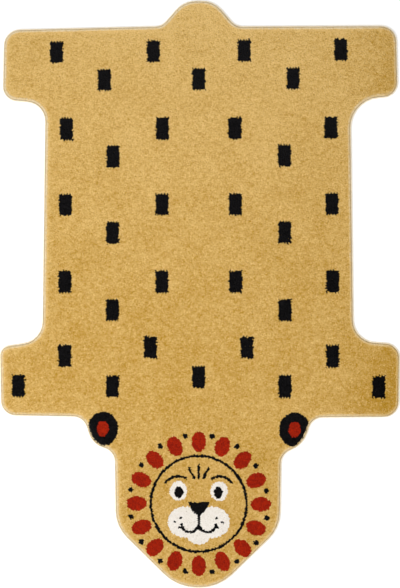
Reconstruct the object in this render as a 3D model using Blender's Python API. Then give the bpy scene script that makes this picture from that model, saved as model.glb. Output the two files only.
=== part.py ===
"""A lion-shaped rug for a child's room: a cut-pile mat in a spread hide's outline, overlocked all round.

The rug lies flat on the floor. +Z is up, the tail points along +Y and the head along -Y. The origin is on
the floor, under the middle of the rug. Sizes are in metres.
"""

import math
from collections import namedtuple

import bmesh
import bpy
from mathutils import Vector

# The spread hide, measured outwards from its centre line and down from the tail's end.
RUG_LENGTH = 1.500
TAIL_HALF_WIDTH = 0.039
TAIL_LENGTH = 0.065
TAIL_ROOT_HALF_WIDTH = 0.095
FORE_PAW_REACH = 0.5015
FORE_PAW_WRIST_REACH = 0.5055  # at the corner nearer the body
FORE_PAW_WIDTH = 0.1815
FORE_PAW_DROOP = 0.004  # how far the tip hangs below the tail's root
FORE_PAW_TAPER = 0.009  # how much narrower the paw's tip is than its root, on the flank's side
CHEST_HALF_WIDTH = 0.3905
FLANK_LENGTH = 0.608
LOIN_HALF_WIDTH = 0.3985
HIND_PAW_REACH = 0.5115
HIND_PAW_HEEL_REACH = 0.5085
HIND_PAW_WIDTH = 0.183
HIND_PAW_TAPER = 0.012
EAR_ROOT_HALF_WIDTH = 0.293
EAR_ROOT_DROP = 0.0025
EAR_TIP_HALF_WIDTH = 0.270
EAR_LENGTH = 0.069
EAR_SLOPE = 0.0215
CHEEK_HALF_WIDTH = 0.214
JAW_HALF_WIDTH = 0.211
CHEEK_LENGTH = 0.190
CHIN_HALF_WIDTH = 0.053

# Distances from the tail's end, down the rug.
FORE_PAW_START = TAIL_LENGTH + FORE_PAW_DROOP
FORE_PAW_END = FORE_PAW_START + FORE_PAW_WIDTH
FLANK_START = FORE_PAW_END + FORE_PAW_TAPER
FLANK_END = FLANK_START + FLANK_LENGTH
HIND_PAW_START = FLANK_END + HIND_PAW_TAPER
HIND_PAW_END = HIND_PAW_START + HIND_PAW_WIDTH
EAR_START = HIND_PAW_END + EAR_ROOT_DROP
EAR_END = EAR_START + EAR_LENGTH
CHEEK_START = EAR_END + EAR_SLOPE
JAW_START = CHEEK_START + CHEEK_LENGTH

# How the rug was cut and laid: the body lies a little to the left of the paws, and both ends are askew.
TAIL_SHIFT = -0.003
BODY_SHIFT = -0.005
FORE_PAW_SHIFT = 0.001
HIND_PAW_SHIFT = 0.0
SKEW = 0.013  # radians turned for each metre from the middle

# The cloth
MAT_THICKNESS = 0.0125  # ground weave and pile together
PILE_ROUNDING = 0.0045  # how far the outermost pile falls away at the rim
EDGE_WIDTH = 0.0036
EDGE_HEIGHT = 0.0085
EDGE_UNDERSIDE = 0.0004
CLEARANCE = 0.0003  # between the mat's rim and the yarn that wraps it
MAT_INSET = EDGE_WIDTH + CLEARANCE

# Fineness of the meshes
ARC_STEP = math.radians(14)
LONGEST_RUN = 0.080
ROUNDING_STEPS = 3
TOP_CELL = 0.060
CUT_SHIFT = 0.0002  # keeps the cuts across the top off the outline's own points

# Finishes, with linear colours
MUSTARD = (0.631, 0.392, 0.112, 1.0)
STRAW = (0.672, 0.546, 0.352, 1.0)
PILE_ROUGHNESS = 0.95
YARN_ROUGHNESS = 0.90

# A pair of corners, right and left. The cut is uneven: where a pair is askew, its right corner lies nearer
# the tail and its left one as much further, and a left corner may be rounded by a radius of its own.
Corner = namedtuple("Corner", "half_width from_tail radius shift askew left_radius", defaults=(0.0, None))
EdgePoint = namedtuple("EdgePoint", "inset height")
Swell = namedtuple("Swell", "height per_x per_y phase")

CORNERS = (
    Corner(TAIL_HALF_WIDTH, 0.0, 0.068, TAIL_SHIFT),
    Corner(TAIL_ROOT_HALF_WIDTH, TAIL_LENGTH, 0.035, TAIL_SHIFT, askew=-0.001),
    Corner(FORE_PAW_REACH, FORE_PAW_START, 0.042, FORE_PAW_SHIFT, askew=0.001),
    Corner(FORE_PAW_WRIST_REACH, FORE_PAW_END, 0.038, FORE_PAW_SHIFT, askew=0.001),
    Corner(CHEST_HALF_WIDTH, FLANK_START, 0.075, BODY_SHIFT, askew=0.0025, left_radius=0.049),
    Corner(LOIN_HALF_WIDTH, FLANK_END, 0.056, BODY_SHIFT),
    Corner(HIND_PAW_REACH, HIND_PAW_START, 0.039, HIND_PAW_SHIFT, askew=0.005, left_radius=0.027),
    Corner(HIND_PAW_HEEL_REACH, HIND_PAW_END, 0.040, HIND_PAW_SHIFT),
    Corner(EAR_ROOT_HALF_WIDTH, EAR_START, 0.036, BODY_SHIFT),
    Corner(EAR_TIP_HALF_WIDTH, EAR_END, 0.072, BODY_SHIFT, askew=0.002, left_radius=0.056),
    Corner(CHEEK_HALF_WIDTH, CHEEK_START, 0.035, BODY_SHIFT, askew=-0.0035),
    Corner(JAW_HALF_WIDTH, JAW_START, 0.098, BODY_SHIFT),
    Corner(CHIN_HALF_WIDTH, RUG_LENGTH, 0.121, BODY_SHIFT),
)

# The wrapped yarn's section, from its inner foot round under, outside and over.
EDGE_SECTION = (
    EdgePoint(EDGE_WIDTH, 0.0012),
    EdgePoint(0.62 * EDGE_WIDTH, EDGE_UNDERSIDE),
    EdgePoint(0.28 * EDGE_WIDTH, EDGE_UNDERSIDE),
    EdgePoint(0.0, 0.25 * EDGE_HEIGHT),
    EdgePoint(0.0, 0.65 * EDGE_HEIGHT),
    EdgePoint(0.22 * EDGE_WIDTH, 0.90 * EDGE_HEIGHT),
    EdgePoint(0.60 * EDGE_WIDTH, EDGE_HEIGHT),
    EdgePoint(EDGE_WIDTH, 0.93 * EDGE_HEIGHT),
)

# The low, broad swells of the pile's top: height in metres, turns in radians for each metre.
SWELLS = (
    Swell(0.00028, 2.4, 7.3, 0.4),
    Swell(0.00016, 11.7, -4.3, 1.3),
    Swell(0.00010, -7.1, 13.2, 2.9),
)


def hide_corners():
    """The closed outline's corners, clockwise from the tail as seen from above, each with its rounding."""
    right, left = [], []
    for corner in CORNERS:
        y = RUG_LENGTH / 2 - corner.from_tail
        right_place = Vector((corner.shift + corner.half_width, y + corner.askew))
        left_place = Vector((corner.shift - corner.half_width, y - corner.askew))
        right.append((right_place, corner.radius))
        left.append((left_place, corner.left_radius or corner.radius))
    return right + left[::-1]


def rounded_corner(before, corner, after, radius, inset):
    """The arc that rounds one corner of the outline, moved inwards by the inset."""
    arriving = (corner - before).normalized()
    leaving = (after - corner).normalized()
    turn = arriving.angle_signed(leaving)
    bend = 1 if turn > 0 else -1  # 1 where the outline, going clockwise, turns right
    tangent = radius * math.tan(abs(turn) / 2)
    inward = Vector((arriving.y, -arriving.x)) * bend
    centre = corner - arriving * tangent + inward * radius
    steps = max(2, math.ceil(abs(turn) / ARC_STEP))
    points = []
    for step in range(steps + 1):
        angle = -turn * step / steps
        spoke = -inward * (radius - bend * inset)
        points.append(centre + Vector((
            spoke.x * math.cos(angle) - spoke.y * math.sin(angle),
            spoke.x * math.sin(angle) + spoke.y * math.cos(angle),
        )))
    return points


def as_laid(point):
    """Where a point of the cut shape comes to lie on the floor."""
    return Vector((point.x, point.y + SKEW * point.x * point.y))


def outline(inset):
    """The rug's outline as laid, moved inwards by the inset. Every inset gives the same number of points."""
    corners = hide_corners()
    arcs, full_size_arcs = [], []
    for index, (corner, radius) in enumerate(corners):
        before = corners[index - 1][0]
        after = corners[(index + 1) % len(corners)][0]
        arcs.append(rounded_corner(before, corner, after, radius, inset))
        full_size_arcs.append(rounded_corner(before, corner, after, radius, 0.0))
    points = []
    for index, arc in enumerate(arcs):
        following = (index + 1) % len(arcs)
        run = (full_size_arcs[following][0] - full_size_arcs[index][-1]).length
        pieces = max(1, math.ceil(run / LONGEST_RUN))
        points += arc
        points += [arc[-1].lerp(arcs[following][0], step / pieces) for step in range(1, pieces)]
    return [as_laid(point) for point in points]


def add_ring(mesh, inset, height):
    """One loop of vertices that follows the outline."""
    return [mesh.verts.new((point.x, point.y, height)) for point in outline(inset)]


def join_rings(mesh, lower, upper):
    """The band of faces between two loops, facing outwards where the upper one is above or inside."""
    for index, vertex in enumerate(lower):
        following = (index + 1) % len(lower)
        mesh.faces.new((vertex, upper[index], upper[following], lower[following]))


def pile_level(x, y):
    """How far the pile's top stands above or below its mean, as on a rug that has been rolled and laid."""
    return sum(
        swell.height * math.sin(swell.per_x * x + swell.per_y * y + swell.phase)
        for swell in SWELLS
    )


def divide_face(mesh, face):
    """Cuts one flat face into cells along both ways of the rug, and gives back its inner vertices."""
    rim = set(face.verts)
    faces = [face]
    for axis, reach in ((0, HIND_PAW_REACH), (1, RUG_LENGTH / 2)):
        cells = math.ceil(2 * reach / TOP_CELL)
        for cut in range(1, cells):
            point, normal = Vector(), Vector()
            point[axis] = CUT_SHIFT - reach + 2 * reach * cut / cells
            normal[axis] = 1.0
            edges = {edge for part in faces for edge in part.edges}
            made = bmesh.ops.bisect_plane(
                mesh, geom=faces + list(edges), dist=1e-6, plane_co=point, plane_no=normal
            )
            faces = [item for item in made["geom"] if isinstance(item, bmesh.types.BMFace)]
    inner = {vertex for part in faces for vertex in part.verts} - rim
    return [vertex for vertex in inner if set(vertex.link_faces) <= set(faces)]


def make_object(name, mesh, colour, roughness):
    """Puts a finished mesh in the scene under its name, in its own plain material."""
    bmesh.ops.recalc_face_normals(mesh, faces=mesh.faces)
    data = bpy.data.meshes.new(name)
    mesh.to_mesh(data)
    mesh.free()
    data.shade_smooth()
    data.set_sharp_from_angle(angle=math.radians(50))
    material = bpy.data.materials.new(name)
    material.use_nodes = True
    shader = material.node_tree.nodes["Principled BSDF"]
    shader.inputs["Base Color"].default_value = colour
    shader.inputs["Roughness"].default_value = roughness
    shader.inputs["Metallic"].default_value = 0.0
    data.materials.append(material)
    made = bpy.data.objects.new(name, data)
    bpy.context.collection.objects.link(made)
    return made


def make_pile_mat():
    """The one-piece mat: flat below, upright at its cut edge, and rounded over at its outer pile."""
    mesh = bmesh.new()
    rings = [add_ring(mesh, MAT_INSET, 0.0)]
    shoulder = MAT_THICKNESS - PILE_ROUNDING
    rings.append(add_ring(mesh, MAT_INSET, shoulder))
    for step in range(1, ROUNDING_STEPS + 1):
        angle = math.pi / 2 * step / ROUNDING_STEPS
        inset = MAT_INSET + PILE_ROUNDING * (1 - math.cos(angle))
        rings.append(add_ring(mesh, inset, shoulder + PILE_ROUNDING * math.sin(angle)))
    for lower, upper in zip(rings, rings[1:]):
        join_rings(mesh, lower, upper)
    mesh.faces.new(reversed(rings[0]))
    top = mesh.faces.new(rings[-1])
    for vertex in divide_face(mesh, top):
        vertex.co.z += pile_level(vertex.co.x, vertex.co.y)
    make_object("pile_mat", mesh, MUSTARD, PILE_ROUGHNESS)


def make_overlocked_edge():
    """The closed band of yarn that is wrapped over the mat's cut edge, all the way round."""
    mesh = bmesh.new()
    rings = [add_ring(mesh, point.inset, point.height) for point in EDGE_SECTION]
    for lower, upper in zip(rings, rings[1:] + rings[:1]):
        join_rings(mesh, lower, upper)
    make_object("overlocked_edge", mesh, STRAW, YARN_ROUGHNESS)


def main():
    for existing in list(bpy.data.objects):
        bpy.data.objects.remove(existing)
    make_pile_mat()
    make_overlocked_edge()


main()
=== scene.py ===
import math
from collections import namedtuple

import bmesh
import bpy
import numpy as np
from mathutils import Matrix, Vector
from mathutils.bvhtree import BVHTree


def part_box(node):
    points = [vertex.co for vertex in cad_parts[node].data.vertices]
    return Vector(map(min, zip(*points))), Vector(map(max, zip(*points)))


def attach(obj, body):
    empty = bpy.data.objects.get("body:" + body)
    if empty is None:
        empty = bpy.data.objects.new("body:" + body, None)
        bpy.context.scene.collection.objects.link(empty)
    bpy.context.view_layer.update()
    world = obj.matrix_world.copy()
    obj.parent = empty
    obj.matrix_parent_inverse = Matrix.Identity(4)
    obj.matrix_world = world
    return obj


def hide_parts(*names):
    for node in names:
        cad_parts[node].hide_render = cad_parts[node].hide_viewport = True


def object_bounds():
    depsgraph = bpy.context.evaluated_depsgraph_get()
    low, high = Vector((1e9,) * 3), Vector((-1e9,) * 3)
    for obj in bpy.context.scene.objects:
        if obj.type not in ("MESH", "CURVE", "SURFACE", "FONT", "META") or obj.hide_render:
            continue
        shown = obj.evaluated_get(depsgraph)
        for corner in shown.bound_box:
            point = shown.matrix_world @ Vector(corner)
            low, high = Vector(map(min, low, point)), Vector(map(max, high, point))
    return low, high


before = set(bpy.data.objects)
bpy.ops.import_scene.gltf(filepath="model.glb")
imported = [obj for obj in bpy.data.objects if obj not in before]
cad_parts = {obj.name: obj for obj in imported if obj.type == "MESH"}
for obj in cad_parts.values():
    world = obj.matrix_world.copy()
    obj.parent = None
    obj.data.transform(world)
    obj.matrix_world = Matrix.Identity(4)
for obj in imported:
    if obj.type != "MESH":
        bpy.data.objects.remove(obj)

bl_info = {
    "name": "Lion-shaped rug",
    "version": (1, 0, 0),
    "blender": (4, 5, 0),
    "location": "3D View > Sidebar > Rug",
    "description": "Dresses a spread-hide rug with cut pile, a woven back and an overlocked edge",
    "category": "Object",
}

BODY = "root"
MAT_NODE = "pile_mat"
EDGE_NODE = "overlocked_edge"
CAD_LOW, CAD_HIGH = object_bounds()
MAT_LOW, MAT_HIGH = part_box(MAT_NODE)
EDGE_LOW, EDGE_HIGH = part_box(EDGE_NODE)
TAIL_END = CAD_HIGH.y
SEED = 7

# The yarn colours of the pile, as codes in the woven pattern.
MUSTARD, BLACK, CREAM, RUST = range(4)

# How the woven pattern lies on the floor: its middle to one side of the frame's, and both ends askew, in
# radians turned for each metre from the middle.
SKEW = 0.0145
PATTERN_MIDDLE = -0.003

BlockLine = namedtuple("BlockLine", "from_tail columns")

# The staggered repeat of upright blocks: each line's distance from the tail's end, and how far its blocks
# are to either side of the middle.
BLOCK_LINES = (
    BlockLine(0.1295, (0.116, 0.362)),
    BlockLine(0.2015, (0.0, 0.2405)),
    BlockLine(0.3275, (0.0925, 0.337)),
    BlockLine(0.398, (0.2185,)),
    BlockLine(0.5205, (0.0935, 0.3395)),
    BlockLine(0.593, (0.2195,)),
    BlockLine(0.718, (0.094, 0.341)),
    BlockLine(0.7905, (0.220,)),
    BlockLine(0.8855, (0.123,)),
    BlockLine(0.9075, (0.3415,)),
    BlockLine(0.9615, (0.0,)),
    BlockLine(0.9845, (0.220, 0.459)),
)

# The teeth along a block's sides and ends, in radians for each metre, and how much they drift from one block
# to another.
SIDE_TEETH, SIDE_DRIFT = 900.0, 40.0
END_TEETH, END_DRIFT = 860.0, 25.0

# The mustard pile is this many pieces from the head to the tail, so that no piece has too many faces.
MUSTARD_BANDS = 5

# The pile's shade runs from 0 for its deep yarn to 1 for its pale one. A painted sheen adds to it, most at a
# place beyond the tail's end, and nothing from this far off it.
PAINTED_SHEEN_PLACE = (0.02, 1.12, 0.0)
PAINTED_SHEEN_REACH = 1.17
PAINTED_SHEEN_GAIN = 0.57

# Painted shade: the paws on the right side, away from the light, are deeper, from here outwards to
# the rug's side.
PAINTED_SHADE_FROM = 0.36
PAINTED_SHADE_LOSS = 0.32

# Vertices nearer to each other than this are one, and those nearer in height are level.
SAME_PLACE = 1e-6
SAME_LEVEL = 1e-5


# --- settings --------------------------------------------------------------------------------------------


def length(name, description, default):
    return bpy.props.FloatProperty(
        name=name, description=description, default=default, min=0.0, unit="LENGTH", precision=4
    )


def colour(name, description, default):
    return bpy.props.FloatVectorProperty(
        name=name, description=description, default=default, size=3, min=0.0, max=1.0, subtype="COLOR"
    )


class RugPileSettings(bpy.types.PropertyGroup):
    """The cut pile's sizes."""

    column_pitch: length("Column pitch", "Distance between tufts across the rug", 0.0036)
    row_pitch: length("Row pitch", "Distance between rows of tufts along the rug", 0.00275)
    tuft_radius: length("Tuft radius", "Half the width of a tuft where it blooms", 0.0031)
    tuft_length: length("Tuft length", "Length of a tuft's part that can be seen", 0.0064)
    bloom_depth: length("Bloom depth", "How far below the tip the tuft is widest", 0.0008)
    scatter: length("Scatter", "How far a tuft stands from its place in the weave", 0.0004)
    lean: bpy.props.FloatProperty(
        name="Lean", description="Most that a tuft leans", default=math.radians(7.5), subtype="ANGLE"
    )
    height_spread: length("Height spread", "How unevenly the tips are shorn", 0.00014)
    rim_reach: length("Rim reach", "How far the outermost tufts fan out from their feet", 0.0060)


class RugColourSettings(bpy.types.PropertyGroup):
    """The yarns' colours."""

    mustard: colour("Mustard", "Ground colour of the pile, at its deepest", (0.389, 0.208, 0.0150))
    straw: colour("Straw", "The paler yarn that the mustard is twisted with", (0.682, 0.463, 0.172))
    # The rim's pale tone is painted sheen on the sides of its yarn.
    rim: colour("Rim", "The pile at the rim, where the sides of its yarn show", (0.70, 0.57, 0.365))
    black: colour("Black", "Blocks, ears and drawn lines", (0.0004, 0.00036, 0.0004))
    cream: colour("Cream", "Muzzle", (0.76, 0.715, 0.658))
    rust: colour("Rust", "Mane and inner ears", (0.188, 0.0055, 0.0001))
    overlock: colour("Overlock", "Yarn round the edge", (0.86, 0.75, 0.555))
    jute: colour("Jute", "Woven back", (0.42, 0.32, 0.20))


class RugPatternSettings(bpy.types.PropertyGroup):
    """The sizes of the woven pattern."""

    block_width: length("Block width", "Width of an upright block", 0.0331)
    block_length: length("Block length", "Length of an upright block", 0.0552)
    side_teeth: length("Side teeth", "How far the teeth at a block's sides jut out", 0.0011)
    end_teeth: length("End teeth", "How far the teeth at a block's ends jut out", 0.0018)
    line_width: length("Line width", "Width of a drawn line", 0.0068)
    face_from_tail: length("Face middle", "Distance of the face's middle from the tail's end", 1.284)
    face_radius: length("Face radius", "Radius of the face inside its mane", 0.122)
    mane_radius: length("Mane radius", "Radius of the mane's outer tips", 0.186)
    petals: bpy.props.IntProperty(
        name="Petals", description="Petals round the face", default=16, min=6, max=40
    )


class RugEdgeSettings(bpy.types.PropertyGroup):
    """The overlocked edge's sizes."""

    wrap_pitch: length("Wrap pitch", "Distance between turns of yarn along the edge", 0.0029)
    yarn_width: length("Yarn width", "Width of a turn of yarn where it lies on the edge", 0.0026)
    yarn_thickness: length("Yarn thickness", "How far a turn stands out from the edge", 0.0011)
    slant: bpy.props.FloatProperty(
        name="Slant", description="How far each turn slants along the edge", default=math.radians(17),
        subtype="ANGLE",
    )


# --- shapes read from the frame -------------------------------------------------------------------------


def merged_copy(node):
    """A mesh of a frame node with its loose triangles joined up."""
    mesh = bmesh.new()
    mesh.from_mesh(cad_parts[node].data)
    bmesh.ops.remove_doubles(mesh, verts=mesh.verts, dist=SAME_PLACE)
    return mesh


def underside_rim(node):
    """The outline of a node's flat underside, anticlockwise from above, as one row for each corner."""
    mesh = merged_copy(node)
    floor_level = min(vertex.co.z for vertex in mesh.verts) + SAME_LEVEL
    under = {face for face in mesh.faces if all(vertex.co.z < floor_level for vertex in face.verts)}
    neighbours = {}
    for edge in mesh.edges:
        if sum(face in under for face in edge.link_faces) == 1:
            first, second = edge.verts
            neighbours.setdefault(first, []).append(second)
            neighbours.setdefault(second, []).append(first)
    start = next(iter(neighbours))
    ring, before, here = [start], start, neighbours[start][0]
    while here is not start:
        ring.append(here)
        before, here = here, next(v for v in neighbours[here] if v is not before)
    points = np.array([(vertex.co.x, vertex.co.y) for vertex in ring])
    mesh.free()
    following = np.roll(points, -1, axis=0)
    turned = (points[:, 0] * following[:, 1] - following[:, 0] * points[:, 1]).sum()
    return points if turned > 0 else points[::-1]


def outward_at_corners(ring):
    """The unit direction out of the outline at each corner of its ring."""
    ahead = np.roll(ring, -1, axis=0) - ring
    ahead /= np.linalg.norm(ahead, axis=1)[:, None]
    along = ahead + np.roll(ahead, 1, axis=0)
    along /= np.linalg.norm(along, axis=1)[:, None]
    return np.stack([along[:, 1], -along[:, 0]], 1)


def spaced_along(ring, pitch):
    """Places at an even pitch along a closed ring, each with its direction out of the outline."""
    closed = np.vstack([ring, ring[:1]])
    outward = outward_at_corners(ring)
    outward = np.vstack([outward, outward[:1]])
    run = np.concatenate([[0.0], np.cumsum(np.linalg.norm(np.diff(closed, axis=0), axis=1))])
    count = round(run[-1] / pitch)
    at = (np.arange(count) + 0.5) * run[-1] / count
    places = np.stack([np.interp(at, run, closed[:, axis]) for axis in (0, 1)], 1)
    facing = np.stack([np.interp(at, run, outward[:, axis]) for axis in (0, 1)], 1)
    return places, facing / np.linalg.norm(facing, axis=1)[:, None]


def depth_inside(points, ring):
    """How far each point lies inside the outline, below zero where it lies outside."""
    nearest = np.full(len(points), np.inf)
    inside = np.zeros(len(points), bool)
    x, y = points.T
    for (x0, y0), (x1, y1) in zip(ring, np.roll(ring, -1, axis=0)):
        across, up = x1 - x0, y1 - y0
        share = ((x - x0) * across + (y - y0) * up) / (across * across + up * up)
        share = share.clip(0, 1)
        nearest = np.minimum(nearest, np.hypot(x - x0 - share * across, y - y0 - share * up))
        if y0 != y1:
            inside ^= ((y0 > y) != (y1 > y)) & (x < x0 + across * (y - y0) / up)
    return np.where(inside, nearest, -nearest)


def facing_left(points, ring):
    """How squarely the outline near each point faces left: 1 where it does, -1 where it faces right."""
    step = 0.0005
    return (depth_inside(points + (step, 0.0), ring) - depth_inside(points, ring)) / step


MAT_RIM = underside_rim(MAT_NODE)


# --- making pieces ---------------------------------------------------------------------------------------


def deselect_all():
    if bpy.context.object and bpy.context.object.mode != "OBJECT":
        bpy.ops.object.mode_set(mode="OBJECT")
    bpy.ops.object.select_all(action="DESELECT")


def make_active(piece):
    deselect_all()
    piece.select_set(True)
    bpy.context.view_layer.objects.active = piece


def finish_piece(piece, materials, replaced):
    """Gives a piece its materials, hangs it on its body, and hides the frame node that it stands for."""
    piece.data.materials.clear()
    for material in materials:
        piece.data.materials.append(material)
    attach(piece, BODY)
    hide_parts(replaced)


def copies_group(model):
    """Geometry Nodes that set a copy of the model on every point, turned and sized as the point says."""
    group = bpy.data.node_groups.new("copies_of_" + model.name, "GeometryNodeTree")
    group.interface.new_socket("Geometry", in_out="INPUT", socket_type="NodeSocketGeometry")
    group.interface.new_socket("Geometry", in_out="OUTPUT", socket_type="NodeSocketGeometry")
    nodes, links = group.nodes, group.links
    points = nodes.new("NodeGroupInput")
    copies = nodes.new("GeometryNodeInstanceOnPoints")
    source = nodes.new("GeometryNodeObjectInfo")
    source.inputs["Object"].default_value = model
    realized = nodes.new("GeometryNodeRealizeInstances")
    result = nodes.new("NodeGroupOutput")
    links.new(points.outputs["Geometry"], copies.inputs["Points"])
    links.new(source.outputs["Geometry"], copies.inputs["Instance"])
    for attribute, socket in (("turn", "Rotation"), ("size", "Scale")):
        read = nodes.new("GeometryNodeInputNamedAttribute")
        read.data_type = "FLOAT_VECTOR"
        read.inputs["Name"].default_value = attribute
        links.new(read.outputs["Attribute"], copies.inputs[socket])
    links.new(copies.outputs["Instances"], realized.inputs["Geometry"])
    links.new(realized.outputs["Geometry"], result.inputs["Geometry"])
    return group


def copies_on_points(name, model, places, turns, sizes, tints):
    """One joined mesh of many copies of the model, each with a tint and a share of the UV map of its own."""
    mesh = bpy.data.meshes.new(name)
    mesh.vertices.add(len(places))
    mesh.vertices.foreach_set("co", places.astype(np.float32).ravel())
    for attribute, values in (("turn", turns), ("size", sizes)):
        layer = mesh.attributes.new(attribute, "FLOAT_VECTOR", "POINT")
        layer.data.foreach_set("vector", values.astype(np.float32).ravel())
    mesh.attributes.new("tint", "FLOAT", "POINT").data.foreach_set("value", tints.astype(np.float32))
    piece = bpy.data.objects.new(name, mesh)
    bpy.context.collection.objects.link(piece)
    make_active(piece)
    piece.modifiers.new("copies", "NODES").node_group = copies_group(model)
    bpy.ops.object.modifier_apply(modifier="copies")
    for attribute in ("turn", "size"):
        piece.data.attributes.remove(piece.data.attributes[attribute])
    share_out_map(piece.data, len(places))
    return piece


def share_out_map(mesh, copies):
    """Moves each copy's part of the UV map into a square of its own, with a margin round it."""
    margin = 0.03
    layer = mesh.uv_layers["OFBake"]
    places = np.empty(len(layer.uv) * 2, np.float32)
    layer.uv.foreach_get("vector", places)
    places = places.reshape(copies, -1, 2)
    across = math.ceil(math.sqrt(copies))
    column, row = np.arange(copies) % across, np.arange(copies) // across
    places = (places * (1 - 2 * margin) + margin + np.stack([column, row], 1)[:, None]) / across
    layer.uv.foreach_set("vector", places.astype(np.float32).ravel())


def unwrap_model(model):
    """Gives a small model the UV map that its copies share out."""
    make_active(model)
    model.data.uv_layers.new(name="OFBake")
    bpy.ops.object.mode_set(mode="EDIT")
    bpy.ops.mesh.select_all(action="SELECT")
    bpy.ops.uv.smart_project(angle_limit=math.radians(66), island_margin=0.02, scale_to_bounds=True)
    bpy.ops.object.mode_set(mode="OBJECT")


# --- materials -------------------------------------------------------------------------------------------


class Nodes:
    """A short way to build one material's nodes."""

    def __init__(self, name):
        self.material = bpy.data.materials.new(name)
        self.material.use_nodes = True
        self.tree = self.material.node_tree
        self.shader = self.tree.nodes["Principled BSDF"]

    def add(self, kind, **settings):
        node = self.tree.nodes.new(kind)
        for name, value in settings.items():
            setattr(node, name, value)
        return node

    def link(self, source, target):
        self.tree.links.new(source, target)

    def object_place(self):
        return self.add("ShaderNodeTexCoord").outputs["Object"]

    def scaled_place(self, *scales):
        """The place in the object, counted in steps of its own along each axis."""
        node = self.add("ShaderNodeVectorMath", operation="MULTIPLY")
        self.link(self.object_place(), node.inputs[0])
        node.inputs[1].default_value = scales
        return node.outputs["Vector"]

    def noise(self, scale, detail=2.0, roughness=0.5, place=None):
        node = self.add("ShaderNodeTexNoise")
        node.inputs["Scale"].default_value = scale
        node.inputs["Detail"].default_value = detail
        node.inputs["Roughness"].default_value = roughness
        self.link(place or self.object_place(), node.inputs["Vector"])
        return node.outputs["Fac"]

    def cells(self, place):
        """How far each place is from the middle of its cell, in a field of small uneven cells."""
        node = self.add("ShaderNodeTexVoronoi")
        node.inputs["Scale"].default_value = 1.0
        self.link(place, node.inputs["Vector"])
        return node.outputs["Distance"]

    def spread(self, source, low, high, from_low=0.0, from_high=1.0):
        """Maps a number from one range onto another."""
        node = self.add("ShaderNodeMapRange")
        node.inputs["From Min"].default_value = from_low
        node.inputs["From Max"].default_value = from_high
        node.inputs["To Min"].default_value = low
        node.inputs["To Max"].default_value = high
        self.link(source, node.inputs["Value"])
        return node.outputs["Result"]

    def maths(self, operation, first, second):
        node = self.add("ShaderNodeMath", operation=operation)
        self.link(first, node.inputs[0])
        self.link(second, node.inputs[1])
        return node.outputs["Value"]

    def brightened(self, tone, factor):
        """A plain colour made lighter or darker by a number."""
        node = self.add("ShaderNodeVectorMath", operation="SCALE")
        node.inputs[0].default_value = tone
        self.link(factor, node.inputs["Scale"])
        return node.outputs["Vector"]

    def mixed(self, factor, first, second):
        """Two plain colours mixed by a number, from the first at 0 to the second at 1."""
        node = self.add("ShaderNodeMix", data_type="RGBA", clamp_factor=True)
        self.link(factor, node.inputs["Factor"])
        # The node's sockets for colours come after those for numbers and vectors.
        node.inputs[6].default_value = (*first, 1.0)
        node.inputs[7].default_value = (*second, 1.0)
        return node.outputs[2]

    def bump(self, height, distance, strength=1.0):
        node = self.add("ShaderNodeBump")
        node.inputs["Distance"].default_value = distance
        node.inputs["Strength"].default_value = strength
        self.link(height, node.inputs["Height"])
        self.link(node.outputs["Normal"], self.shader.inputs["Normal"])

    def finish(self, roughness, specular):
        self.shader.inputs["Roughness"].default_value = roughness
        self.shader.inputs["Specular IOR Level"].default_value = specular
        return self.material


def shifted(tone, factors):
    """A colour with each of its parts scaled."""
    return tuple(min(1.0, part * factor) for part, factor in zip(tone, factors))


# The pile's grain: how many clumps of tufts, broad patches and fibres there are in a metre, or in a metre
# across, along and up, and how much each changes the shade.
CLUMPS_A_METRE = (98.0, 155.0, 120.0)
CLUMP_SHADE = 0.38
# The broad patches where the pile leans are painted light and shade.
PATCHES_A_METRE = 9.0
PATCH_PAINTED_SHADING = 0.26
FIBRES_A_METRE = (1700.0, 1700.0, 450.0)
# Each fibre is paler at its middle and darker in the gaps between fibres, as painted shade.
FIBRE_MIDDLE_SHADE = 0.33
FIBRE_GAP_PAINTED_SHADE = -0.27
FIBRE_RADIUS = 0.8  # of the distance between fibres
PILE_SPECULAR = 0.12


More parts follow.
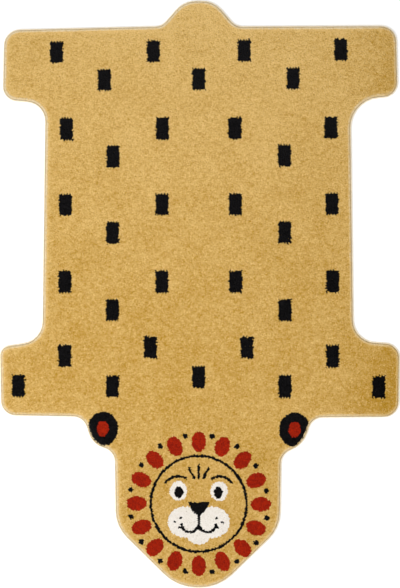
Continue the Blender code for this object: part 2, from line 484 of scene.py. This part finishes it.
def pile_material(name, deep, pale, specular=PILE_SPECULAR):
    """Cut yarn ends between a deep and a pale tone. Each tuft has a tint of its own, over clumps of tufts
    and broad patches of painted light and shade where the pile leans. The fibres are darker between
    them in painted shade, a painted sheen pales the pile towards a place beyond the tail's end, and
    painted shade deepens the paws on the right."""
    made = Nodes(name)
    # Each tuft's tint carries, near the rim, painted light and the rim's painted sheen.
    tint = made.add("ShaderNodeAttribute", attribute_name="tint").outputs["Fac"]
    clumps = made.noise(scale=1.0, place=made.scaled_place(*CLUMPS_A_METRE))
    clump = made.spread(clumps, -CLUMP_SHADE, CLUMP_SHADE)
    patches = made.noise(scale=PATCHES_A_METRE, detail=4.0, roughness=0.6)
    lean_patch_shading = made.spread(patches, -PATCH_PAINTED_SHADING, PATCH_PAINTED_SHADING)
    fibres = made.cells(made.scaled_place(*FIBRES_A_METRE))
    fibre = made.spread(fibres, FIBRE_MIDDLE_SHADE, FIBRE_GAP_PAINTED_SHADE, from_high=FIBRE_RADIUS)
    # Painted sheen: the pile is paler towards a place beyond the tail's end.
    off = made.add("ShaderNodeVectorMath", operation="DISTANCE")
    made.link(made.object_place(), off.inputs[0])
    off.inputs[1].default_value = PAINTED_SHEEN_PLACE
    paler = made.spread(off.outputs["Value"], PAINTED_SHEEN_GAIN, 0.0, from_high=PAINTED_SHEEN_REACH)
    # Painted shade deepens the paws on the right side.
    sides = made.add("ShaderNodeSeparateXYZ")
    made.link(made.object_place(), sides.inputs[0])
    deeper = made.spread(sides.outputs["X"], 0.0, PAINTED_SHADE_LOSS, PAINTED_SHADE_FROM, CAD_HIGH.x)
    shade = made.maths("ADD", made.maths("ADD", tint, clump), made.maths("ADD", lean_patch_shading, fibre))
    shade = made.maths("ADD", shade, made.maths("SUBTRACT", paler, deeper))
    made.link(made.mixed(shade, deep, pale), made.shader.inputs["Base Color"])
    made.bump(made.spread(fibres, low=1.0, high=0.0), distance=0.0004, strength=0.8)
    return made.finish(roughness=0.92, specular=specular)


def painted_shade_depth_material(tone):
    """The pile's depth, seen between the tufts: the mustard darkened by painted shade."""
    made = Nodes("painted_shade_pile_depth")
    shade = made.spread(made.noise(scale=300.0), low=0.45, high=0.70)
    made.link(made.brightened(tone, shade), made.shader.inputs["Base Color"])
    made.bump(made.noise(scale=400.0), distance=0.0006)
    return made.finish(roughness=1.0, specular=0.1)


def back_material(tone, settings):
    """The plain woven back: warp and weft ribs that pass over each other, in uneven jute."""
    made = Nodes("woven_back")
    place = made.object_place()
    ribs = []
    for direction, pitch in (("X", settings.column_pitch), ("Y", settings.row_pitch)):
        wave = made.add("ShaderNodeTexWave", wave_type="BANDS", bands_direction=direction)
        # The texture turns 20 radians a metre at scale 1, and one thread is one whole turn.
        wave.inputs["Scale"].default_value = math.pi / (10 * pitch)
        wave.inputs["Distortion"].default_value = 0.6
        wave.inputs["Detail"].default_value = 1.0
        made.link(place, wave.inputs["Vector"])
        ribs.append(wave.outputs["Fac"])
    weave = made.maths("MULTIPLY", ribs[0], ribs[1])
    patches = made.spread(made.noise(scale=25.0, detail=4.0), low=0.86, high=1.14)
    shade = made.maths("MULTIPLY", made.spread(weave, low=0.62, high=1.08), patches)
    made.link(made.brightened(tone, shade), made.shader.inputs["Base Color"])
    made.bump(weave, distance=0.0007)
    return made.finish(roughness=0.9, specular=0.25)


def overlock_material(tone):
    """Overlock yarn, with fine plies along it and a tint of its own for each turn."""
    made = Nodes("overlock_yarn")
    tint = made.add("ShaderNodeAttribute", attribute_name="tint").outputs["Fac"]
    plies = made.noise(scale=900.0, detail=3.0, roughness=0.6)
    shade = made.maths("ADD", tint, made.spread(plies, low=-0.4, high=0.4))
    deep, pale = shifted(tone, (0.88, 0.86, 0.82)), shifted(tone, (1.10, 1.12, 1.16))
    made.link(made.mixed(shade, deep, pale), made.shader.inputs["Base Color"])
    made.bump(plies, distance=0.0003, strength=0.7)
    return made.finish(roughness=0.8, specular=0.3)


def core_material(tone):
    """The edge's core of yarn, in the shade between its turns."""
    made = Nodes("overlock_core")
    shade = made.spread(made.noise(scale=700.0, detail=3.0), low=0.86, high=1.0)
    made.link(made.brightened(tone, shade), made.shader.inputs["Base Color"])
    made.bump(made.noise(scale=900.0), distance=0.0003)
    return made.finish(roughness=0.9, specular=0.2)


# --- the woven pattern -----------------------------------------------------------------------------------


Oval = namedtuple("Oval", "side up half_width half_height")

# The mane's petals and dots: a petal's half width as a share of its part of the ring, how far the petals'
# middles are moved outwards and their ends are drawn in, and how far the dots' middles lie inside the tips.
PETAL_FULLNESS = 0.30
PETALS_OUTWARDS = 0.004
PETALS_DRAWN_IN = 0.006
MANE_DOT_RADIUS = 0.0068
MANE_DOT_INSET = 0.010

# The ears, from the middle line and up from their own level. Each has its fellow on the other side.
EARS_FROM_TAIL = 1.094
OUTER_EAR = Oval(0.244, 0.0, 0.039, 0.044)
INNER_EAR = Oval(0.244, 0.0, 0.015, 0.020)

# The face, from its middle line and up from its middle. What lies beside the line has its fellow, and each
# brow is the part of a ring that is above and outside of two limits.
CHEEK = Oval(0.033, -0.047, 0.046, 0.040)
CHIN = Oval(0.0, -0.083, 0.028, 0.020)
EYE = Oval(0.052, 0.032, 0.022, 0.025)
PUPIL = Oval(0.050, 0.029, 0.0115, 0.015)
BROW_MIDDLE = (0.052, 0.030)
BROW_RADIUS = 0.040
BROW_LOWEST = 0.052
BROW_INNERMOST = 0.030
NOSE_TIP = -0.030
NOSE_TOP = 0.004
NOSE_HALF_WIDTH = 0.030
NOSE_FLARE = 0.036  # how far above its tip the nose would reach that width
NOSE_FULLNESS = 0.6  # 1 where the nose's sides are straight, and less where they bulge
LIP_FOOT = -0.052
MOUTH_LEVEL = -0.050
MOUTH_RADIUS = 0.022
WHISKER_DOTS = ((0.046, -0.036), (0.060, -0.047), (0.048, -0.060))
WHISKER_DOT_RADIUS = 0.0036

# The three strokes on the forehead, which spread upwards.
STROKES = (-1, 0, 1)
STROKE_TIPS_APART = 0.024
STROKE_FEET_APART = 0.012
STROKE_TIP = 0.098
STROKE_TIP_DROP = 0.008  # how much lower the outer strokes' tips are
STROKE_FOOT = 0.066


def in_oval(x, y, middle_x, middle_y, half_width, half_height):
    return ((x - middle_x) / half_width) ** 2 + ((y - middle_y) / half_height) ** 2 < 1


def on_line(x, y, start, end, width):
    """Whether points lie on a straight drawn line."""
    across, up = end[0] - start[0], end[1] - start[1]
    share = ((x - start[0]) * across + (y - start[1]) * up) / (across * across + up * up)
    share = share.clip(0, 1)
    return np.hypot(x - start[0] - share * across, y - start[1] - share * up) < width / 2


def on_ring(x, y, middle_x, middle_y, radius, width):
    return abs(np.hypot(x - middle_x, y - middle_y) - radius) < width / 2


def weave_blocks(code, x, y, pattern):
    """The staggered black blocks of the body and the paws, toothed where yarns of two colours meet."""
    side = abs(x + pattern.side_teeth * np.sin(SIDE_TEETH * y + SIDE_DRIFT * x) - PATTERN_MIDDLE)
    y = y + pattern.end_teeth * np.sin(END_TEETH * x + END_DRIFT * y)
    for line in BLOCK_LINES:
        upright = abs(y - (TAIL_END - line.from_tail)) < pattern.block_length / 2
        for column in line.columns:
            code[upright & (abs(side - column) < pattern.block_width / 2)] = BLACK


def weave_mane(code, x, y, pattern):
    """Rust petals round the face, with a black dot between each two."""
    middle_y = TAIL_END - pattern.face_from_tail
    away = np.hypot(x - PATTERN_MIDDLE, y - middle_y)
    turn = 2 * math.pi / pattern.petals
    angle = np.arctan2(x - PATTERN_MIDDLE, y - middle_y)
    off = (angle + turn / 2) % turn - turn / 2
    petal_middle = (pattern.face_radius + pattern.mane_radius) / 2 + PETALS_OUTWARDS
    half_long = (pattern.mane_radius - pattern.face_radius) / 2 - PETALS_DRAWN_IN
    petal = Oval(0.0, petal_middle, PETAL_FULLNESS * turn * petal_middle, half_long)
    code[in_oval(away * np.sin(off), away * np.cos(off), *petal)] = RUST
    off = angle % turn - turn / 2
    dot = Oval(0.0, pattern.mane_radius - MANE_DOT_INSET, MANE_DOT_RADIUS, MANE_DOT_RADIUS)
    code[in_oval(away * np.sin(off), away * np.cos(off), *dot)] = BLACK


def weave_ears(code, x, y):
    """Oval black ears with rust inside."""
    side = abs(x - PATTERN_MIDDLE)
    up = y - (TAIL_END - EARS_FROM_TAIL)
    code[in_oval(side, up, *OUTER_EAR)] = BLACK
    code[in_oval(side, up, *INNER_EAR)] = RUST


def weave_face(code, x, y, pattern):
    """A round face with eyes, brows, a cream muzzle, whisker dots, a nose, a mouth and three strokes."""
    middle_y = TAIL_END - pattern.face_from_tail
    side = abs(x - PATTERN_MIDDLE)
    up = y - middle_y
    line = pattern.line_width
    code[on_ring(side, up, 0.0, 0.0, pattern.face_radius, line)] = BLACK
    for oval, yarn in ((CHEEK, CREAM), (CHIN, CREAM), (EYE, CREAM), (PUPIL, BLACK)):
        code[in_oval(side, up, *oval)] = yarn
    brow_ring = on_ring(side, up, *BROW_MIDDLE, BROW_RADIUS, line)
    code[brow_ring & (up > BROW_LOWEST) & (side > BROW_INNERMOST)] = BLACK
    nose_half_width = NOSE_HALF_WIDTH * ((up - NOSE_TIP) / NOSE_FLARE).clip(0, 1) ** NOSE_FULLNESS
    code[(side < nose_half_width) & (up > NOSE_TIP) & (up < NOSE_TOP)] = BLACK
    code[on_line(side, up, (0.0, NOSE_TIP), (0.0, LIP_FOOT), line)] = BLACK
    mouth_ring = on_ring(side, up, MOUTH_RADIUS, MOUTH_LEVEL, MOUTH_RADIUS, line)
    code[mouth_ring & (up < MOUTH_LEVEL)] = BLACK
    for dot in WHISKER_DOTS:
        code[in_oval(side, up, *dot, WHISKER_DOT_RADIUS, WHISKER_DOT_RADIUS)] = BLACK
    for stroke in STROKES:
        tip_x = PATTERN_MIDDLE + STROKE_TIPS_APART * stroke
        tip_y = middle_y + STROKE_TIP - STROKE_TIP_DROP * abs(stroke)
        foot_x = PATTERN_MIDDLE + STROKE_FEET_APART * stroke
        code[on_line(x, y, (tip_x, tip_y), (foot_x, middle_y + STROKE_FOOT), line)] = BLACK


def woven_colour(x, y):
    """The yarn colour code of the tuft at each place of the straight weave."""
    pattern = bpy.context.scene.rug_pattern
    code = np.full(len(x), MUSTARD)
    weave_blocks(code, x, y, pattern)
    weave_mane(code, x, y, pattern)
    weave_ears(code, x, y)
    weave_face(code, x, y, pattern)
    return code


def laid(woven):
    """Where places of the straight weave come to lie on the floor."""
    return np.column_stack([woven[:, 0], woven[:, 1] * (1 + SKEW * woven[:, 0])])


def straightened(places):
    """Where places on the floor are in the straight weave."""
    return np.column_stack([places[:, 0], places[:, 1] / (1 + SKEW * places[:, 0])])


# --- operators -------------------------------------------------------------------------------------------


class RUG_OT_woven_ground(bpy.types.Operator):
    """Makes the sheet of ground weave that carries the pile, with its plain woven back"""

    bl_idname = "rug.woven_ground"
    bl_label = "Woven ground"

    def execute(self, context):
        pile = context.scene.rug_pile
        tones = context.scene.rug_colours
        deselect_all()
        mesh = bmesh.new()
        corners = [mesh.verts.new((x, y, MAT_LOW.z)) for x, y in MAT_RIM]
        mesh.faces.new(corners)
        data = bpy.data.meshes.new("woven_ground")
        mesh.to_mesh(data)
        mesh.free()
        ground = bpy.data.objects.new("woven_ground", data)
        context.collection.objects.link(ground)
        make_active(ground)
        bpy.ops.object.mode_set(mode="EDIT")
        bpy.ops.mesh.select_all(action="SELECT")
        height = MAT_HIGH.z - MAT_LOW.z - pile.tuft_length
        bpy.ops.mesh.extrude_region_move(TRANSFORM_OT_translate={"value": (0, 0, height)})
        bpy.ops.mesh.select_all(action="SELECT")
        bpy.ops.mesh.normals_make_consistent(inside=False)
        bpy.ops.object.mode_set(mode="OBJECT")
        bpy.ops.object.shade_smooth_by_angle(angle=math.radians(40))
        # Its top is the pile's depth between the tufts, in painted shade.
        materials = [back_material(tones.jute, pile), painted_shade_depth_material(tones.mustard)]
        finish_piece(ground, materials, MAT_NODE)
        for face in ground.data.polygons:
            faces_up = face.normal.z > 0.5
            face.material_index = int(faces_up)
        return {"FINISHED"}


class RUG_OT_cut_pile(bpy.types.Operator):
    """Makes the cut pile, one tuft for each knot of the weave, in its pattern of yarn colours"""

    bl_idname = "rug.cut_pile"
    bl_label = "Cut pile"

    # The rows that fan out at the rim, from the outermost inwards. The spreads are in radians.
    RIM_LEANS = (84.0, 63.0, 42.0, 21.0)  # degrees outwards
    # Their tints, palest outermost, add to the rim's painted sheen.
    RIM_SHEEN_TINTS = (0.75, 0.75, 0.65, 0.45)
    RIM_FEET = 0.0058  # distance of their feet from the mat's rim
    RIM_LEAN_SPREAD = 0.08
    RIM_WAY_SPREAD = 0.10
    PAINTED_SHEEN_ROWS = 3  # how many show their yarn's sides, pale with painted sheen, whatever its colour
    RIM_DEEP = (0.78, 0.64, 0.36)  # their deep yarn, as a share of their pale one

    # The upright tufts inside them.
    FIELD_START = 0.0046  # distance of the outermost from the mat's rim
    MOST_SCATTER = 0.001
    LOWEST_TIP, HIGHEST_TIP = -0.0006, 0.0003  # from the pile's level
    RIM_PAINTED_HIGHLIGHT = 0.55  # painted highlight: how much paler those by the rim are, standing freer
    PAINTED_RIM_LIGHT_REACH = 0.004

    # Painted light and shade: how much paler both are on the left, towards the light, and deeper
    # on the right.
    RIM_PAINTED_SIDE_LIGHT = 0.15
    FIELD_PAINTED_SIDE_LIGHT = 0.35

    # How uneven the tufts are in tint, width and length, with the least and the most of the last two.
    TINT = 0.5
    TINT_SPREAD = 0.15
    WIDTH_SPREAD, WIDTH_LIMITS = 0.08, (0.85, 1.2)
    LENGTH_SPREAD, LENGTH_LIMITS = 0.05, (0.9, 1.1)

    def execute(self, context):
        self.pile = context.scene.rug_pile
        self.random = np.random.default_rng(SEED)
        tuft = self.make_tuft()
        surface = merged_copy(MAT_NODE)
        self.top = BVHTree.FromBMesh(surface)
        surface.free()
        rows = [self.rim_tufts(math.radians(lean)) for lean in self.RIM_LEANS]
        rows.append(self.field_tufts())
        places, turns = (np.concatenate(parts) for parts in zip(*rows))
        row = np.repeat(np.arange(len(rows)), [len(part[0]) for part in rows])
        sizes = self.tuft_sizes(len(places))
        tints = self.tuft_tints(places[:, :2], row)
        for name, chosen, material in self.yarn_groups(places, row, context.scene.rug_colours):
            chosen_parts = (values[chosen] for values in (places, turns, sizes, tints))
            piece = copies_on_points(name, tuft, *chosen_parts)
            finish_piece(piece, [material], MAT_NODE)
        bpy.data.objects.remove(tuft)
        return {"FINISHED"}

    def make_tuft(self):
        """One cut tuft with its tip at the origin: a blunt tip, a bloom and a narrow foot."""
        pile = self.pile
        deselect_all()
        bpy.ops.mesh.primitive_cone_add(
            vertices=4, radius1=pile.tuft_radius, radius2=0.0, depth=pile.bloom_depth,
            end_fill_type="TRIFAN", location=(0, 0, -pile.bloom_depth / 2),
        )
        tuft = bpy.context.object
        tuft.name = "tuft"
        bpy.ops.object.transform_apply(location=True, rotation=False, scale=False)
        bpy.ops.object.mode_set(mode="EDIT")
        bpy.ops.mesh.select_all(action="DESELECT")
        shape = bmesh.from_edit_mesh(tuft.data)
        for vertex in shape.verts:
            on_axis = vertex.co.xy.length < SAME_PLACE
            if on_axis and vertex.co.z < -pile.bloom_depth / 2:
                vertex.select_set(True)
        shape.select_flush(True)
        bmesh.update_edit_mesh(tuft.data)
        bpy.ops.transform.translate(value=(0, 0, pile.bloom_depth - pile.tuft_length))
        bpy.ops.object.mode_set(mode="OBJECT")
        bpy.ops.object.shade_smooth()
        unwrap_model(tuft)
        return tuft

    def field_tufts(self):
        """The rows of the weave, every other one set half a column over."""
        pile = self.pile
        columns = np.arange(CAD_LOW.x, CAD_HIGH.x, pile.column_pitch)
        rows = np.arange(CAD_LOW.y, CAD_HIGH.y, pile.row_pitch)
        x, y = np.meshgrid(columns, rows)
        x[1::2] += pile.column_pitch / 2
        knots = laid(np.stack([x.ravel(), y.ravel()], 1))
        at = knots[depth_inside(knots, MAT_RIM) > self.FIELD_START]
        at += self.random.normal(0.0, pile.scatter, at.shape).clip(-self.MOST_SCATTER, self.MOST_SCATTER)
        # Rays from well above find the mat's top over each foot.
        above = MAT_HIGH.z + 1.0
        levels = [self.top.ray_cast(Vector((x, y, above)), Vector((0, 0, -1)))[0].z for x, y in at]
        uneven = self.random.normal(0.0, pile.height_spread, len(at))
        levels = np.array(levels) + uneven.clip(self.LOWEST_TIP, self.HIGHEST_TIP)
        lean = pile.lean * np.sqrt(self.random.uniform(0, 1, len(at)))
        way = self.random.uniform(-math.pi, math.pi, len(at))
        return np.column_stack([at, levels]), self.leaning(lean, way)

    def rim_tufts(self, lean):
        """One row of tufts along the rim, which fan outwards over the edge from their feet."""
        reach = self.pile.rim_reach
        inside = self.RIM_FEET - reach * math.sin(lean)
        ring = MAT_RIM - outward_at_corners(MAT_RIM) * inside
        at, facing = spaced_along(ring, self.pile.row_pitch)
        at += self.random.normal(0.0, self.pile.scatter / 2, at.shape)
        levels = MAT_HIGH.z - self.pile.height_spread - reach * (1 - math.cos(lean))
        levels += self.random.normal(0.0, self.pile.height_spread, len(at))
        leans = lean + self.random.normal(0.0, self.RIM_LEAN_SPREAD, len(at))
        way = np.arctan2(facing[:, 1], facing[:, 0])
        way += self.random.normal(0.0, self.RIM_WAY_SPREAD, len(at))
        return np.column_stack([at, levels]), self.leaning(leans, way)

    def tuft_sizes(self, count):
        """How large each tuft is along its own axes, against the one that is copied."""
        width = self.random.normal(1.0, self.WIDTH_SPREAD, count).clip(*self.WIDTH_LIMITS)
        height = self.random.normal(1.0, self.LENGTH_SPREAD, count).clip(*self.LENGTH_LIMITS)
        return np.stack([width, width, height], 1)

    def tuft_tints(self, at, row):
        """Each tuft's tint, with painted light towards the rim: a highlight where the tufts stand freer,
        paler on the left and deeper on the right.
        """
        tints = np.array((*self.RIM_SHEEN_TINTS, self.TINT))[row]
        tints += self.random.normal(0.0, self.TINT_SPREAD, len(at))
        beyond = (depth_inside(at, MAT_RIM) - self.FIELD_START).clip(0.0)
        to_left = facing_left(at, MAT_RIM)
        upright_painted_light = self.RIM_PAINTED_HIGHLIGHT + self.FIELD_PAINTED_SIDE_LIGHT * to_left
        painted_rim_light = np.where(row < len(self.RIM_LEANS), self.RIM_PAINTED_SIDE_LIGHT * to_left, upright_painted_light)
        return tints + painted_rim_light * np.exp(-beyond / self.PAINTED_RIM_LIGHT_REACH)

    def yarn_groups(self, places, row, tones):
        """The pieces that the pile is made as: each one's name, its tufts' numbers and its material."""
        at_rim = row < len(self.RIM_LEANS)
        code = woven_colour(*straightened(places).T)
        # The outermost rows take the rim's painted sheen, whatever their yarn.
        code[row < self.PAINTED_SHEEN_ROWS] = MUSTARD
        mustard = pile_material("mustard_pile", tones.mustard, tones.straw)
        from_head = np.flatnonzero((code == MUSTARD) & ~at_rim)
        from_head = from_head[np.argsort(places[from_head, 1], kind="stable")]
        groups = [
            (f"mustard_pile_{band + 1}", chosen, mustard)
            for band, chosen in enumerate(np.array_split(from_head, MUSTARD_BANDS))
        ]
        # The rim pile's pale tones paint the sheen on the sides of its yarn.
        rim = pile_material("rim_pile", shifted(tones.rim, self.RIM_DEEP), tones.rim)
        groups.append(("rim_pile", np.flatnonzero((code == MUSTARD) & at_rim), rim))
        # A yarn's second tone is a share of its first: paler in black and rust, and a bit deeper in cream.
        for name, yarn, tone, second_share, specular in (
            ("black_pile", BLACK, tones.black, (19.0, 19.5, 19.0), 0.05),
            ("cream_pile", CREAM, tones.cream, (0.88, 0.86, 0.82), PILE_SPECULAR),
            ("rust_pile", RUST, tones.rust, (2.0, 2.8, 3.0), PILE_SPECULAR),
        ):
            material = pile_material(name, tone, shifted(tone, second_share), specular)
            groups.append((name, np.flatnonzero(code == yarn), material))
        return groups

    def leaning(self, lean, way):
        """Turns that lean upright tufts by an angle towards a way, each spun about itself at random."""
        spin = self.random.uniform(-math.pi, math.pi, len(lean))
        towards = way - spin
        about_x = -np.arcsin(np.sin(lean) * np.sin(towards))
        about_y = np.arctan2(np.sin(lean) * np.cos(towards), np.cos(lean))
        return np.stack([about_x, about_y, spin], 1)


class RUG_OT_overlocked_edge(bpy.types.Operator):
    """Wraps the mat's edge in turns of overlock yarn, over a core of the same yarn"""

    bl_idname = "rug.overlocked_edge"
    bl_label = "Overlocked edge"

    FLOOR_GAP = 0.0001
    CORE_INSET = 0.6  # of a turn's thickness
    WAY_SPREAD = 0.05  # in radians
    SIZE_SPREAD = 0.03
    MOST_SMALLER = 0.1  # a turn's size is never less than its full size by more than this share
    TINT = 0.5
    TINT_SPREAD = 0.2

    def execute(self, context):
        edge = context.scene.rug_edge
        tone = context.scene.rug_colours.overlock
        random = np.random.default_rng(SEED + 1)
        turn = self.make_turn(edge)
        ring = MAT_RIM + outward_at_corners(MAT_RIM) * self.edge_width() / 2
        at, facing = spaced_along(ring, edge.wrap_pitch)
        middle = (EDGE_LOW.z + EDGE_HIGH.z) / 2
        places = np.column_stack([at, np.full(len(at), middle)])
        way = np.arctan2(facing[:, 1], facing[:, 0]) + edge.slant
        way += random.normal(0.0, self.WAY_SPREAD, len(at))
        turns = np.stack([np.zeros(len(at)), np.zeros(len(at)), way], 1)
        sizes = 1 - abs(random.normal(0.0, self.SIZE_SPREAD, (len(at), 3))).clip(0.0, self.MOST_SMALLER)
        tints = random.normal(self.TINT, self.TINT_SPREAD, len(at))
        wraps = copies_on_points("overlock_turns", turn, places, turns, sizes, tints)
        finish_piece(wraps, [overlock_material(tone)], EDGE_NODE)
        bpy.data.objects.remove(turn)
        core = self.make_core(edge)
        finish_piece(core, [core_material(tone)], EDGE_NODE)
        return {"FINISHED"}

    def edge_width(self):
        return (CAD_HIGH.x - CAD_LOW.x - (MAT_HIGH.x - MAT_LOW.x)) / 2

    def make_core(self, edge):
        """The core: the frame's edge, drawn in by part of the thickness of the turns that cover it."""
        deselect_all()
        mesh = merged_copy(EDGE_NODE)
        data = bpy.data.meshes.new("overlock_core")
        mesh.to_mesh(data)
        mesh.free()
        core = bpy.data.objects.new("overlock_core", data)
        bpy.context.collection.objects.link(core)
        make_active(core)
        bpy.ops.object.mode_set(mode="EDIT")
        bpy.ops.mesh.select_all(action="SELECT")
        bpy.ops.mesh.normals_make_consistent(inside=False)
        bpy.ops.transform.shrink_fatten(value=-self.CORE_INSET * edge.yarn_thickness)
        bpy.ops.object.mode_set(mode="OBJECT")
        bpy.ops.object.shade_smooth_by_angle(angle=math.radians(50))
        return core

    def make_turn(self, edge):
        """One closed turn of yarn round the edge: round above and below, and straight at its sides."""
        half_height = (EDGE_HIGH.z - EDGE_LOW.z) / 2 - self.FLOOR_GAP
        half_width = self.edge_width() / 2
        stretch = half_height - half_width
        deselect_all()
        bpy.ops.mesh.primitive_torus_add(
            major_segments=6, minor_segments=4, major_radius=half_width - edge.yarn_thickness / 2,
            minor_radius=edge.yarn_thickness / 2, rotation=(math.pi / 2, 0, 0),
        )
        turn = bpy.context.object
        turn.name = "turn"
        bpy.ops.object.transform_apply(location=False, rotation=True, scale=False)
        bpy.ops.object.mode_set(mode="EDIT")
        for side in (1, -1):
            bpy.ops.mesh.select_all(action="DESELECT")
            shape = bmesh.from_edit_mesh(turn.data)
            for vertex in shape.verts:
                vertex.select_set(vertex.co.z * side > SAME_LEVEL)
            shape.select_flush(True)
            bmesh.update_edit_mesh(turn.data)
            bpy.ops.transform.translate(value=(0, 0, stretch * side))
        bpy.ops.mesh.select_all(action="SELECT")
        bpy.ops.transform.resize(value=(1, edge.yarn_width / edge.yarn_thickness, 1))
        bpy.ops.object.mode_set(mode="OBJECT")
        bpy.ops.object.shade_smooth()
        unwrap_model(turn)
        return turn


class RUG_OT_declare_cloth(bpy.types.Operator):
    """Does nothing, and returns at once"""

    bl_idname = "rug.declare_cloth"
    bl_label = "Declare the cloth"

    def execute(self, context):
        return {"FINISHED"}


class RUG_OT_stage(bpy.types.Operator):
    """Makes the pale floor, the soft lights and the camera straight above the rug"""

    bl_idname = "rug.stage"
    bl_label = "Stage"

    FLOOR_TONE = (0.96, 0.96, 0.96, 1.0)
    SKY_STRENGTH = 0.69
    CAMERA_HEIGHT = 3.4
    SEEN_LENGTH = 1.5014  # along the picture's long side, at the level of the rug's edge
    PICTURE_MIDDLE = (0.0002, 0.0006)
    SENSOR_MM = 36.0

    def execute(self, context):
        self.make_floor()
        self.make_light("overhead", place=(-0.55, -0.40, 2.2), size=2.2, watts=44.5)
        self.make_light("fill", place=(-1.7, -0.7, 2.0), size=2.0, watts=8.0)
        self.light_world(context.scene)
        self.place_camera(context.scene)
        context.scene.view_settings.view_transform = "Standard"
        return {"FINISHED"}

    def make_floor(self):
        deselect_all()
        bpy.ops.mesh.primitive_plane_add(size=14.0, location=(0, 0, 0))
        floor = bpy.context.object
        floor.name = "floor"
        made = Nodes("pale_floor")
        made.shader.inputs["Base Color"].default_value = self.FLOOR_TONE
        floor.data.materials.append(made.finish(roughness=0.9, specular=0.1))

    def make_light(self, name, place, size, watts):
        bpy.ops.object.light_add(type="AREA", location=place)
        light = bpy.context.object
        light.name = name
        light.data.shape = "DISK"
        light.data.size = size
        light.data.energy = watts
        light.rotation_euler = (-Vector(place)).to_track_quat("-Z", "Y").to_euler()

    def light_world(self, scene):
        scene.world = bpy.data.worlds.new("studio")
        scene.world.use_nodes = True
        sky = scene.world.node_tree.nodes["Background"]
        sky.inputs["Color"].default_value = (1.0, 1.0, 1.0, 1.0)
        sky.inputs["Strength"].default_value = self.SKY_STRENGTH

    def place_camera(self, scene):
        bpy.ops.object.camera_add(location=(*self.PICTURE_MIDDLE, self.CAMERA_HEIGHT), rotation=(0, 0, 0))
        camera = bpy.context.object
        camera.data.sensor_width = self.SENSOR_MM
        edge_level = (EDGE_LOW.z + EDGE_HIGH.z) / 2
        camera.data.lens = self.SENSOR_MM * (self.CAMERA_HEIGHT - edge_level) / self.SEEN_LENGTH
        scene.camera = camera


class RUG_PT_panel(bpy.types.Panel):
    """Lists the rug's pieces and settings"""

    bl_label = "Lion-shaped rug"
    bl_space_type = "VIEW_3D"
    bl_region_type = "UI"
    bl_category = "Rug"

    def draw(self, context):
        for operator in OPERATORS:
            self.layout.operator(operator.bl_idname)
        for name, group in SETTINGS.items():
            box = self.layout.box()
            box.label(text=group.__doc__)
            for setting in group.__annotations__:
                box.prop(getattr(context.scene, name), setting)


SETTINGS = {
    "rug_pile": RugPileSettings,
    "rug_colours": RugColourSettings,
    "rug_pattern": RugPatternSettings,
    "rug_edge": RugEdgeSettings,
}
OPERATORS = (
    RUG_OT_stage,
    RUG_OT_woven_ground,
    RUG_OT_cut_pile,
    RUG_OT_overlocked_edge,
    RUG_OT_declare_cloth,
)
CLASSES = (*SETTINGS.values(), *OPERATORS, RUG_PT_panel)


def register():
    for item in CLASSES:
        bpy.utils.register_class(item)
    for name, group in SETTINGS.items():
        setattr(bpy.types.Scene, name, bpy.props.PointerProperty(type=group))


def unregister():
    for name in SETTINGS:
        delattr(bpy.types.Scene, name)
    for item in reversed(CLASSES):
        bpy.utils.unregister_class(item)


def main():
    register()
    bpy.ops.rug.stage()
    bpy.ops.rug.woven_ground()
    bpy.ops.rug.cut_pile()
    bpy.ops.rug.overlocked_edge()
    bpy.ops.rug.declare_cloth()


if __name__ == "__main__":
    main()
